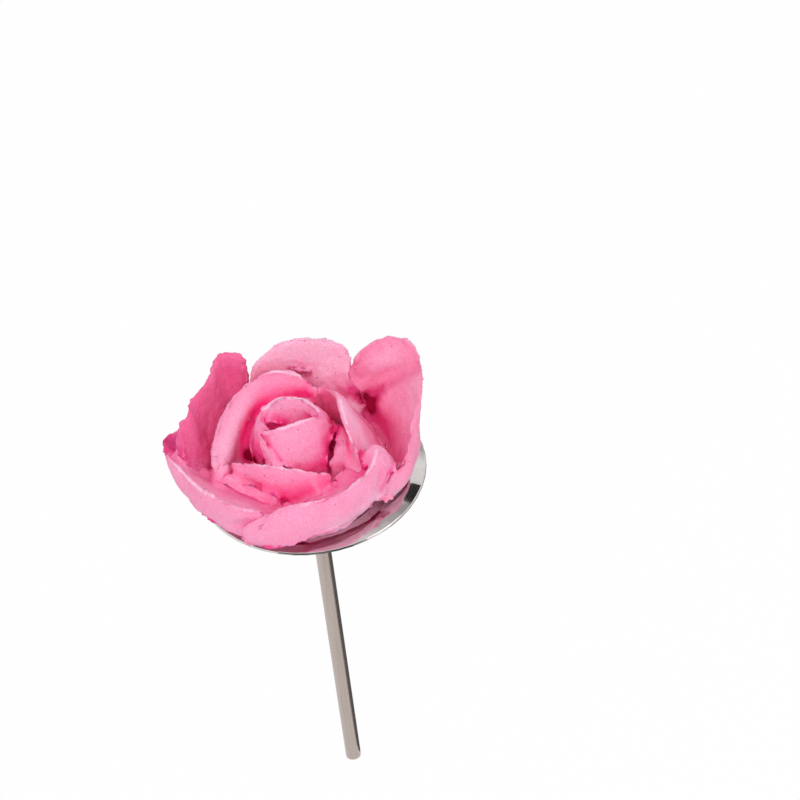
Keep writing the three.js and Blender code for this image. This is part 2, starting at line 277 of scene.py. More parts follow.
SQUEEZED = [
    # rope between the front petals
    ("inner_petal_front", [
        (-15.2, -5.2, 81.0, 0.8), (-14.0, -5.5, 80.9, 1.1), (-12.9, -6.4, 80.7, 1.0),
        (-12.0, -7.6, 80.5, 0.85), (-10.8, -8.6, 80.7, 1.0), (-9.6, -9.6, 80.6, 0.85),
        (-8.4, -10.3, 80.3, 0.95), (-7.0, -11.0, 79.6, 0.6)]),
    # icing in the valleys on both sides of the inner petals
    ("inner_petal_left", [
        (-9.3, 1.6, 82.4, 0.6), (-8.7, 3.0, 83.4, 0.8), (-7.4, 4.7, 84.4, 0.8), (-5.4, 5.8, 85.0, 0.8),
        (-2.4, 6.0, 85.2, 0.7)]),
    ("inner_petal_right", [
        (5.4, 3.4, 78.8, 0.8), (6.3, 2.2, 78.8, 0.9), (6.9, 0.4, 78.7, 0.9), (7.2, -1.4, 78.7, 0.9),
        (7.0, -3.4, 79.2, 0.9), (6.8, -5.0, 80.2, 0.7)]),
    ("inner_petal_right", [
        (4.8, 2.4, 81.6, 1.0), (5.5, 0.4, 82.6, 1.2), (6.0, -1.6, 83.4, 1.3), (6.2, -3.4, 83.7, 1.3),
        (6.2, -4.8, 83.3, 1.1), (6.3, -6.0, 82.6, 0.9), (6.8, -7.4, 81.8, 0.8), (7.1, -8.6, 81.0, 0.7)]),
    ("outer_petal_right", [
        (11.8, 5.6, 77.8, 0.8), (12.3, 4.6, 77.0, 0.9), (12.8, 3.0, 76.8, 0.9), (13.0, 1.0, 76.9, 0.9)]),
    # icing that fills the valley between the left petal, the inner petal and the front ribbon
    ("outer_petal_front_left", [
        (-18.8, -2.2, 80.2, 0.9), (-18.0, -2.6, 80.0, 1.1), (-16.6, -4.0, 79.6, 1.1),
        (-15.2, -5.4, 79.2, 1.0)]),
    # slope inside the bud, under the back rim of its ribbon
    ("bud_wrap", [
        (-6.4, 0.6, 87.7, 0.5), (-5.4, 1.6, 88.2, 0.6), (-4.0, 2.2, 88.5, 0.65), (-2.4, 2.4, 88.7, 0.65),
        (-0.9, 2.1, 88.6, 0.65), (0.2, 1.6, 88.4, 0.65), (1.3, 0.7, 88.2, 0.6), (2.0, -0.2, 88.1, 0.55),
        (2.4, -1.0, 88.0, 0.4)]),
    # loose end of the bud's ribbon, laid slanting over the bud
    ("bud_wrap", [
        (-7.5, -3.4, 88.0, 0.3), (-7.1, -4.6, 87.3, 0.4), (-6.6, -5.6, 86.3, 0.45),
        (-6.0, -6.6, 85.0, 0.6), (-5.3, -7.2, 84.1, 0.75)]),
    # filled left side of the bud
    ("bud_wrap", [
        (-8.2, -2.2, 85.2, 0.5), (-7.9, -3.2, 84.3, 0.7), (-7.4, -4.4, 83.6, 0.8),
        (-6.6, -5.6, 83.0, 0.8)]),
    # torn crumbs of the back petal above the inner petal's edge
    ("outer_petal_back", [
        (-0.8, 12.3, 87.5, 0.3), (0.4, 12.1, 87.3, 0.45), (1.2, 11.9, 87.2, 0.3), (2.0, 11.7, 87.1, 0.45)]),
    # raised lip of the right front ribbon, and its rounded tongue in front of the inner petal
    ("outer_petal_front_right", [
        (0.2, -17.3, 83.8, 0.35), (5.0, -16.5, 84.4, 0.4), (7.2, -15.3, 84.8, 0.45),
        (8.9, -13.6, 84.6, 0.6), (9.9, -12.3, 84.9, 0.8), (10.7, -11.1, 85.4, 0.9),
        (11.2, -9.6, 85.8, 0.95)]),
    ("outer_petal_front_right", [
        (9.3, -10.4, 84.6, 1.0), (9.9, -9.3, 85.2, 1.2), (10.9, -8.6, 85.4, 1.3), (11.8, -8.8, 84.8, 1.4),
        (12.1, -9.6, 83.8, 1.4)]),
    ("outer_petal_front_right", [
        (11.7, -10.6, 85.8, 0.9), (12.0, -11.4, 84.6, 0.9), (11.6, -12.2, 83.2, 0.9),
        (11.0, -12.6, 81.4, 0.9), (10.6, -12.5, 79.8, 0.8)]),
    # icing pressed out under the front petals
    ("rose_mound", [
        (3.0, -14.4, 76.3, 0.8), (6.0, -13.2, 76.4, 0.9), (8.6, -11.6, 76.4, 0.9),
        (10.6, -9.6, 76.4, 0.9), (12.2, -7.4, 76.4, 0.8)]),
    # torn bit under the right petal's lower lobe
    ("outer_petal_right", [(11.0, -12.3, 77.7, 0.6), (11.7, -12.2, 77.5, 0.7), (12.5, -11.9, 77.4, 0.5)]),
]

plain = {}
ribbons = {}
for node_name in ICING:
    plain[node_name] = copy_of(node_name, "plain_" + node_name)
    ribbons[node_name] = copy_of(node_name, "icing_" + node_name)
for node_name, path in SQUEEZED:
    for piece in (plain[node_name], ribbons[node_name]):
        squeeze_out(piece, path)
print("copies:", len(ribbons), "squeezed ropes:", len(SQUEEZED))

# %% Remesh and smooth
MOUND_COARSER = 1.4  # the mound is mostly hidden, so its faces may be larger
SKIN_ROUNDS = 10


def new_skin(piece, voxel):
    skin = piece.modifiers.new("skin", "REMESH")
    skin.mode = "VOXEL"
    skin.voxel_size = voxel * MM


def smooth(piece, rounds):
    soft = piece.modifiers.new("soft", "SMOOTH")
    soft.factor = 0.5
    soft.iterations = rounds


for node_name, piece in ribbons.items():
    new_skin(piece, SKIN * (MOUND_COARSER if node_name == "rose_mound" else 1))
    smooth(piece, SKIN_ROUNDS)
    apply_all(piece)
    print(node_name, "faces:", len(piece.data.polygons))

# %% [markdown]
# ## Reading and moving points
# Most of the shaping below moves the points of a skin by numbers, in millimetres. These helpers
# read the points and their normals, put them back, and average a value along the edges, which
# is what a smoothing brush does.

# %% Points, normals and averages
def rows_of(piece, what):
    flat = np.empty(len(piece.data.vertices) * 3)
    piece.data.vertices.foreach_get(what, flat)
    return flat.reshape(-1, 3)


def points_of(piece):
    return rows_of(piece, "co") / MM


def normals_of(piece):
    return rows_of(piece, "normal")


def put_points(piece, points):
    piece.data.vertices.foreach_set("co", (points * MM).ravel())
    piece.data.update()


def spread_over(piece, values, rounds):
    """Values at the points, averaged along the edges a few times."""
    edges = np.empty(len(piece.data.edges) * 2, dtype=np.int64)
    piece.data.edges.foreach_get("vertices", edges)
    a, b = edges.reshape(-1, 2).T
    count = np.maximum(np.bincount(edges, minlength=len(values)), 1)
    for _ in range(rounds):
        total = np.bincount(a, values[b], len(values)) + np.bincount(b, values[a], len(values))
        values = 0.5 * values + 0.5 * total / count
    return values


def spread_points(piece, points, rounds):
    """Points or moves, averaged along the edges a few times."""
    return np.stack([spread_over(piece, points[:, k], rounds) for k in range(3)], axis=1)


def ease(values, low, high):
    """0 below low, 1 above high, smooth between."""
    t = np.clip((values - low) / (high - low), 0, 1)
    return t * t * (3 - 2 * t)


# %% [markdown]
# ## Closing the seams
# Fresh icing sticks to the ribbon it is laid against, and a soft fillet fills the corner between
# the two. The CAD solids keep a small gap there, so each soft piece is first pushed out toward
# its near neighbours. Then a copy of all the ribbons is joined, swollen, remeshed to one common
# skin and shrunk again, which fills the corners as a fingertip would. Each ribbon is drawn out to
# that skin, only near a neighbour and only outwards, so its free edges stay thin.

# %% Push near faces together
REACH = 1.6  # mm, a neighbour farther away than this isn't noticed
TOUCH = 0.75  # mm, a neighbour nearer than this is pushed toward
TOUCH_GAIN = 1.8  # how soon the push is a full one
PUSH = 0.26  # mm
NEAR_ROUNDS = 3


def tree_of(pieces):
    corners, faces = [], []
    for piece in pieces:
        start = len(corners)
        corners += [v.co / MM for v in piece.data.vertices]
        faces += [tuple(start + i for i in f.vertices) for f in piece.data.polygons]
    return BVHTree.FromPolygons(corners, faces)


near = {}
corner = {}
for node_name, piece in ribbons.items():
    others = tree_of([plain[n] for n in ICING if n != node_name])
    points = points_of(piece)
    gaps = np.full(len(points), REACH)
    for i, point in enumerate(points):
        distance = others.find_nearest(Vector(point), REACH)[3]
        if distance is not None:
            gaps[i] = distance
    near[node_name] = spread_over(piece, np.clip(TOUCH_GAIN * (1 - gaps / TOUCH), 0, 1), NEAR_ROUNDS)
    corner[node_name] = 1 - ease(gaps, TOUCH, REACH)
    put_points(piece, points + normals_of(piece) * (PUSH * near[node_name])[:, None])
print("gaps closed on", len(near), "pieces")

# %% Draw the ribbons out to one common skin
SWELL = 0.7  # mm
FILLET = 1.2  # mm, the farthest that a point looks for the common skin
COMMON_SKIN = 0.25  # mm, size of its faces
COMMON_ROUNDS = 16
MOVE_ROUNDS = 4
SLIGHT = 0.02  # a weight below this is left out


def joined(pieces):
    """One object made of copies of several pieces."""
    only(pieces[0])
    for piece in pieces:
        piece.select_set(True)
    bpy.ops.object.duplicate()
    bpy.ops.object.join()
    return bpy.context.object


def tree_in_mm(piece):
    """A search tree of a piece that isn't needed any more."""
    piece.data.transform(Matrix.Scale(1 / MM, 4))
    tree = BVHTree.FromObject(piece, bpy.context.evaluated_depsgraph_get())
    bpy.data.objects.remove(piece)
    return tree


def swell(piece, amount):
    push = piece.modifiers.new("swell", "DISPLACE")
    push.mid_level = 0
    push.strength = amount * MM


common = joined(list(ribbons.values()))
swell(common, SWELL)
new_skin(common, COMMON_SKIN)
swell(common, -SWELL)
smooth(common, COMMON_ROUNDS)
apply_all(common)
print("common skin faces:", len(common.data.polygons))
skin_tree = tree_in_mm(common)
for node_name, piece in ribbons.items():
    points = points_of(piece)
    normals = normals_of(piece)
    moves = np.zeros_like(points)
    for i in np.flatnonzero(corner[node_name] > SLIGHT):
        spot, facing, _, _ = skin_tree.find_nearest(Vector(points[i]), FILLET)
        if spot is None:
            continue
        way = np.array(spot) - points[i]
        if way @ normals[i] > 0 and np.array(facing) @ normals[i] > 0:
            moves[i] = way * corner[node_name][i]
    moves = spread_points(piece, moves, MOVE_ROUNDS)
    put_points(piece, points + moves)
    print(node_name, "largest fillet in mm:", round(float(np.linalg.norm(moves, axis=1).max()), 2))

# %% [markdown]
# ## Sculpting by numbers
# A sculptor would now take a brush. The same can be written down: a stroke is a path in
# millimetres with a width and a height, and each point of the skin near the path moves along its
# own normal. Strokes below zero press a groove, strokes above zero raise a fold.

# %% A stroke of the brush
STEP = 0.25  # of the width
FACING = (0.0, 0.5)  # a point that faces another way is left out


def brush(piece, width, path):
    """How strongly a stroke acts on each point. The path's rows are x, y, z in mm and the strength.

    Each row acts around the skin's nearest point, so a path may lie a little off the skin.
    """
    points = points_of(piece)
    normals = normals_of(piece)
    gaps = np.full(len(points), np.inf)
    strength = np.zeros(len(points))
    facing = np.zeros((len(points), 3))
    for row in along(path, STEP * width):
        middle = np.linalg.norm(points - row[:3], axis=1).argmin()
        side = normals[middle]
        gap = np.linalg.norm(points - points[middle], axis=1)
        closer = gap < gaps
        gaps[closer] = gap[closer]
        strength[closer] = row[3]
        facing[closer] = side
    same_side = ease((normals * facing).sum(axis=1), *FACING)
    return strength * np.exp(-((gaps / width) ** 2)) * same_side


def stroke(piece, width, path):
    """Raise or press the skin along a path, by its strength in mm."""
    move = brush(piece, width, path)
    put_points(piece, points_of(piece) + normals_of(piece) * move[:, None])


# %% Folds, grooves and lumps of each ribbon
STROKES = [
    # soft fold across the right petal, the swelling under it and the rounded lobe above it
    ("outer_petal_right", 2.0, [
        (12.6, 7.5, 83.4, -1.0), (13.4, 7.9, 85.0, -1.2), (14.8, 8.0, 86.1, -1.1),
        (16.7, 7.7, 86.9, -1.0), (19.2, 6.9, 88.8, -0.6)]),
    ("outer_petal_right", 2.0, [
        (13.4, 6.5, 82.0, 0.5), (14.8, 6.6, 83.9, 0.6), (16.8, 6.3, 85.5, 0.5), (18.8, 5.6, 87.4, 0.3)]),
    ("outer_petal_right", 2.4, [(12.6, 9.9, 88.2, 1.0), (15.6, 10.0, 89.0, 0.9), (18.0, 9.8, 90.2, 0.7)]),
    # notch between the right petal's wall and its lower lobe
    ("outer_petal_right", 0.6, [
        (15.8, -9.6, 82.5, -0.6), (14.7, -9.9, 82.2, -0.6), (13.6, -10.1, 82.0, -0.6)]),
    # inner petal on the left: a rolled band, and a raised crest at the back
    ("inner_petal_left", 2.0, [
        (-14.8, -3.6, 82.5, 0.8), (-13.3, -0.9, 84.3, 1.1), (-11.9, 1.6, 85.8, 1.1),
        (-10.0, 4.2, 86.8, 1.0), (-7.5, 6.6, 87.6, 0.6)]),
    ("inner_petal_left", 0.6, [
        (-5.5, 8.8, 90.0, 0.1), (-3.5, 9.1, 90.1, 0.2), (-1.5, 8.8, 89.9, 0.2), (0.2, 8.0, 89.5, 0.1)]),
    # crest of the left front ribbon
    ("outer_petal_front_left", 0.4, [
        (-23.8, -1.1, 84.2, 0.15), (-19.0, -9.4, 83.1, 0.15), (-10.2, -16.1, 82.4, 0.1)]),
    # crack of the back petal behind the inner petal's edge
    ("outer_petal_back", 0.4, [
        (-0.8, 12.3, 87.0, -0.5), (0.5, 12.1, 86.7, -0.8), (1.8, 11.7, 86.4, -0.7)]),
    # lumps on the back petal's skirt, and the dark pit between it and the right petal
    ("outer_petal_back", 0.9, [(7.7, 9.3, 84.4, 0.5), (8.5, 8.6, 83.5, 0.5)]),
    ("outer_petal_back", 1.1, [
        (10.4, 7.4, 82.8, -0.7), (10.8, 6.8, 81.9, -1.1), (11.2, 6.3, 80.9, -1.1)]),
    # bud: thin back rim, raised flap edge, hollow behind it, inner lip and dark slot
    ("bud_wrap", 0.4, [
        (-6.7, 1.7, 89.0, 0.1), (-4.4, 2.9, 89.3, 0.25), (-1.8, 2.9, 89.5, 0.25), (0.2, 2.3, 89.4, 0.25),
        (1.7, 0.6, 89.3, 0.2), (2.7, -1.1, 89.1, 0.1)]),
    ("bud_wrap", 0.3, [
        (-6.6, -3.8, 88.3, 0.1), (-3.2, -3.8, 88.9, 0.15), (0.6, -2.7, 89.1, 0.15),
        (1.8, -2.0, 89.0, 0.1)]),
    ("rose_mound", 1.2, [(-4.0, -1.0, 87.1, -0.9), (-2.0, -0.9, 87.2, -1.1), (-0.4, -0.8, 87.4, -0.7)]),
    ("rose_mound", 0.4, [
        (-6.4, -0.8, 87.3, 0.2), (-5.7, -0.4, 87.5, 0.35), (-4.7, -0.5, 87.4, 0.35),
        (-3.7, -0.9, 87.0, 0.2)]),
    ("rose_mound", 0.8, [(-6.4, -1.4, 86.9, -1.4), (-5.2, -1.6, 86.6, -2.2), (-3.6, -1.7, 86.3, -1.6)]),
    # crease between the bud and the right inner petal
    ("inner_petal_right", 0.5, [
        (4.9, -0.4, 85.2, -0.4), (4.7, -2.2, 84.1, -0.6), (4.5, -3.4, 82.8, -0.5)]),
    ("bud_wrap", 0.5, [(4.6, -0.4, 85.2, -0.3), (4.4, -2.2, 84.1, -0.4), (4.2, -3.4, 82.8, -0.4)]),
    # slit beside the loose end of the bud's ribbon
    ("bud_wrap", 0.25, [(-7.4, -3.5, 88.1, -0.2), (-6.9, -4.4, 87.5, -0.3), (-6.4, -5.2, 86.8, -0.2)]),
    # lower side of the squeezed rope
    ("outer_petal_front_left", 0.6, [
        (-14.2, -7.4, 80.2, -0.4), (-12.4, -9.0, 80.2, -0.5), (-10.6, -10.4, 80.2, -0.5),
        (-8.8, -11.6, 79.9, -0.4)]),
    # groove between the right front ribbon's end and the right petal's lower lobe
    ("outer_petal_front_right", 0.6, [
        (12.2, -11.0, 84.4, -0.4), (11.3, -13.1, 83.2, -0.5), (11.0, -13.5, 81.9, -0.5),
        (10.6, -13.2, 79.4, -0.4)]),
    # crevices above the squeezed rope, and the dark hole at its right end
    ("inner_petal_front", 0.5, [
        (-11.2, -7.4, 81.3, -0.4), (-10.6, -7.9, 81.0, -0.6), (-9.3, -8.8, 80.5, -0.7)]),
    ("inner_petal_front", 0.5, [(-6.0, -10.5, 79.2, -0.4), (-5.0, -10.7, 79.0, -0.6)]),
    # dent where the two front ribbons cross
    ("outer_petal_front_left", 1.0, [
        (-13.9, -15.0, 78.8, -0.5), (-12.5, -15.9, 79.4, -0.8), (-11.4, -16.4, 80.6, -0.8),
        (-10.2, -16.4, 81.6, -0.5)]),
    # soft lump on the front petal's ramp
    ("outer_petal_front_right", 1.6, [(3.4, -9.6, 80.4, 0.7), (5.6, -9.8, 81.0, 0.7)]),
]
for node_name, width, path in STROKES:
    stroke(ribbons[node_name], width, path)
print("strokes:", len(STROKES))

# %% [markdown]
# ## Thin torn edges
# A piped petal thins out toward its free edge, more than the solid can, and stiff icing tears into
# small teeth there. The edge is found by how sharply the skin turns: points around it are drawn
# inwards, the crest is drawn up to a line, and two cloud textures of different size make the teeth.

# %% Find the free edges
LIP_REACH = 1.1  # mm, how far around an edge the ribbon is thinned
LIP_THIN = 0.16  # mm off each side
LIP_CREST = 0.34  # mm that the edge itself is drawn up
LIP_TURN = (0.016, 0.036)  # the turn where a lip begins, and where it is a full one
CREST_TURN = (0.04, 0.075)  # the same for the sharper crest
TURN_SPREAD = 0.17  # square mm that are averaged to find the turn
FEWEST = 10  # points that make an edge


def turn_of(piece):
    """How far each point stands out from the average around it, in mm."""
    points = points_of(piece)
    mean = spread_points(piece, points, int(round(TURN_SPREAD / SKIN ** 2)))
    return ((points - mean) * normals_of(piece)).sum(axis=1)


def reach_from(points, seeds, reach):
    """1 at the seed points, falling to 0 with distance."""
    tree = KDTree(len(seeds))
    for i, seed in enumerate(seeds):
        tree.insert(Vector(seed), i)
    tree.balance()
    gaps = np.array([tree.find(Vector(point))[2] for point in points])
    return np.exp(-((gaps / reach) ** 2))


lips = {}
crests = {}
for node_name, piece in ribbons.items():
    free = 1 - np.clip(near[node_name] * 2, 0, 1)
    turn = turn_of(piece)
    crests[node_name] = spread_over(piece, ease(turn, *CREST_TURN) * free, 1)
    lip = spread_over(piece, ease(turn, *LIP_TURN) * free, 2)
    lips[node_name] = lip
    points = points_of(piece)
    edge = lip > 0.5
    if edge.sum() > FEWEST:
        around = reach_from(points, points[edge], LIP_REACH)
        move = LIP_CREST * lip ** 2 - LIP_THIN * around * free
        put_points(piece, points + normals_of(piece) * move[:, None])
    print(node_name, "edge points:", int(edge.sum()))

# %% [markdown]
# ## Ends without an edge
# Where a ribbon stops, the icing was pulled off and its end sank into a round shape. There, and in
# the corners that were filled, the skin is averaged again and gets no teeth. The rows are the
# piece, the width, and points with the share of the averaging.

# %% Soften the ends
SOFT_SPREAD = 1.4  # square mm that are averaged
SOFT_STEP = 0.3  # of the width
SOFTENED = [
    # end of the right front ribbon
    ("outer_petal_front_right", 0.9, [(9.6, -12.4, 85.0, 1), (10.2, -11.4, 85.8, 0.6)]),
    ("outer_petal_front_right", 1.8, [
        (10.8, -9.6, 86.4, 0.8), (12.4, -8.6, 84.6, 1), (13.2, -9.6, 83.2, 1), (12.6, -11.4, 82.6, 1),
        (11.6, -12.8, 81.0, 1), (11.2, -13.0, 79.6, 0.8)]),
    # slope inside the bud and the left end of its rim
    ("bud_wrap", 0.8, [
        (-7.2, 0.2, 88.2, 0.9), (-5.2, 1.4, 88.0, 0.8), (-2.0, 1.8, 88.2, 0.8), (0.4, 1.0, 88.2, 0.8),
        (1.8, 0.2, 88.4, 0.9)]),
    # tail of the inner petal, and the filling behind it
    ("inner_petal_tail", 1.6, [(4.6, -6.4, 83.0, 0.8), (5.2, -6.6, 81.0, 0.8)]),
    ("inner_petal_right", 1.4, [
        (5.6, -2.4, 84.6, 1), (5.8, -4.6, 84.0, 1), (6.4, -6.4, 83.0, 1), (6.9, -8.2, 81.6, 0.8)]),
    # pit between the back and the right petal
    ("outer_petal_back", 1.2, [(10.2, 7.2, 83.4, 1), (10.6, 6.6, 82.4, 1), (10.8, 6.2, 81.4, 1)]),
    # corner at the left inner petal's foot
    ("inner_petal_left", 1.4, [(-10.0, 0.4, 80.6, 1), (-9.4, 0.2, 79.6, 1)]),
]
for node_name, width, path in SOFTENED:
    piece = ribbons[node_name]
    points = points_of(piece)
    share = np.zeros(len(points))
    for row in along(path, SOFT_STEP * width):
        gaps = np.linalg.norm(points - row[:3], axis=1)
        share = np.maximum(share, row[3] * np.exp(-((gaps / width) ** 2)))
    mean = spread_points(piece, points, int(SOFT_SPREAD / SKIN ** 2))
    put_points(piece, points + (mean - points) * share[:, None])
    lips[node_name] = lips[node_name] * (1 - share)
    crests[node_name] = crests[node_name] * (1 - share)
print("softened ends:", len(SOFTENED))

# %% Teeth, lumps and grain
# name and size of each cloud texture, how much it moves the skin, and the vertex group it keeps to
ROUGHNESS = [
    ("sway", 7.0, 0.9, ""),
    ("waves", 3.6, 0.5, ""),
    ("lumps", 1.2, 0.17, ""),
    ("grain", 0.5, 0.06, ""),
    ("tears", 2.4, 1.0, "free_edge"),
    ("teeth", 0.7, 0.14, "free_edge"),
]
LUMPY = ("outer_petal_back", "outer_petal_left", "outer_petal_right")
LUMPY_HEIGHT = 0.28


def clouds(name, size):
    texture = bpy.data.textures.new(name, "CLOUDS")
    texture.noise_scale = size * MM
    texture.noise_basis = "IMPROVED_PERLIN"
    texture.noise_depth = 1
    return texture


def rough_up(piece, texture, height, group):
    """Raise and sink the skin by a texture, all over or by the weights of a vertex group."""
    lumps = piece.modifiers.new(texture.name, "DISPLACE")
    lumps.texture = texture
    lumps.texture_coords = "LOCAL"
    lumps.strength = height * MM
    lumps.mid_level = 0.5
    lumps.vertex_group = group


def weigh(piece, group_name, weights):
    group = piece.vertex_groups.new(name=group_name)
    for i in np.flatnonzero(weights > SLIGHT):
        group.add([int(i)], float(weights[i]), "REPLACE")


textures = {name: clouds(name, size) for name, size, _, _ in ROUGHNESS}
for node_name, piece in ribbons.items():
    weigh(piece, "free_edge", lips[node_name])
    for name, _, height, group in ROUGHNESS:
        lumpy = name == "lumps" and node_name in LUMPY
        rough_up(piece, textures[name], LUMPY_HEIGHT if lumpy else height, group)
    apply_all(piece)
    piece.vertex_groups.clear()
print("roughened", len(ribbons), "pieces")
